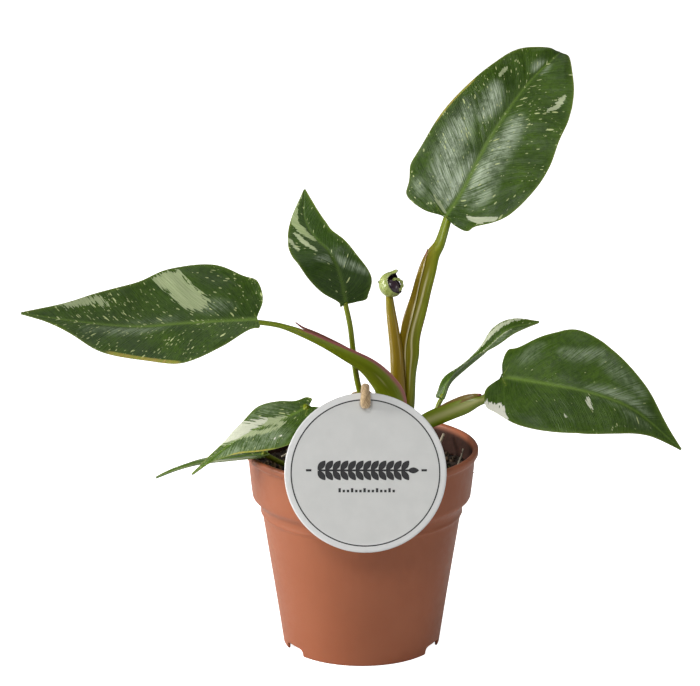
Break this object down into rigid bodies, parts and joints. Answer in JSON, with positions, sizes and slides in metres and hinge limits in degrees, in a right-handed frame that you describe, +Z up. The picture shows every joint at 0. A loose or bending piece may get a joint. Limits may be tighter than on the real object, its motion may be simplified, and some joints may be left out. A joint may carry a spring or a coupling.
{
  "type": "potted philodendron",
  "caption": "Young philodendron with broad pointed flecked leaves in a tapered nursery pot of soil, with a round tag held by twine.",
  "frame": {"origin": "centre of the flat pad under the pot, where the pot's axis meets the surface it stands on", "axes": "+Z up along the pot's axis, -Y towards the tag, +X along the plant's longest spread, from the leaf on the left to the leaf on the right"},
  "size_m": [0.3274, 0.1274, 0.3037],
  "materials": {
    "pot_plastic": "moulded, satin",
    "peat": "loose, matt",
    "leaf": "waxy satin",
    "petiole": "waxy satin",
    "new_leaf": "glossy",
    "root": "dry, matt",
    "tag_card": "smooth, matt",
    "twine": "twisted, hairy"
  },
  "bodies": {
    "root": {"nursery_pot": "pot_plastic", "potting_soil": "peat", "crown_stem": "petiole", "petiole_a": "petiole", "petiole_b": "petiole", "petiole_c": "petiole", "petiole_d": "petiole", "petiole_e": "petiole", "petiole_f": "petiole", "petiole_g": "petiole", "blade_a": "leaf", "blade_b": "leaf", "blade_c": "leaf", "blade_d": "leaf", "blade_e": "leaf", "blade_f": "leaf", "blade_g": "leaf", "new_leaf_stalk": "petiole", "new_leaf_scroll": "new_leaf", "stub_left": "root", "stub_middle": "root", "stub_right": "root", "aerial_root": "root", "dry_root": "root", "fibre": "root", "plant_tag": "tag_card", "twine_loop": "twine"}
  },
  "joints": []
}
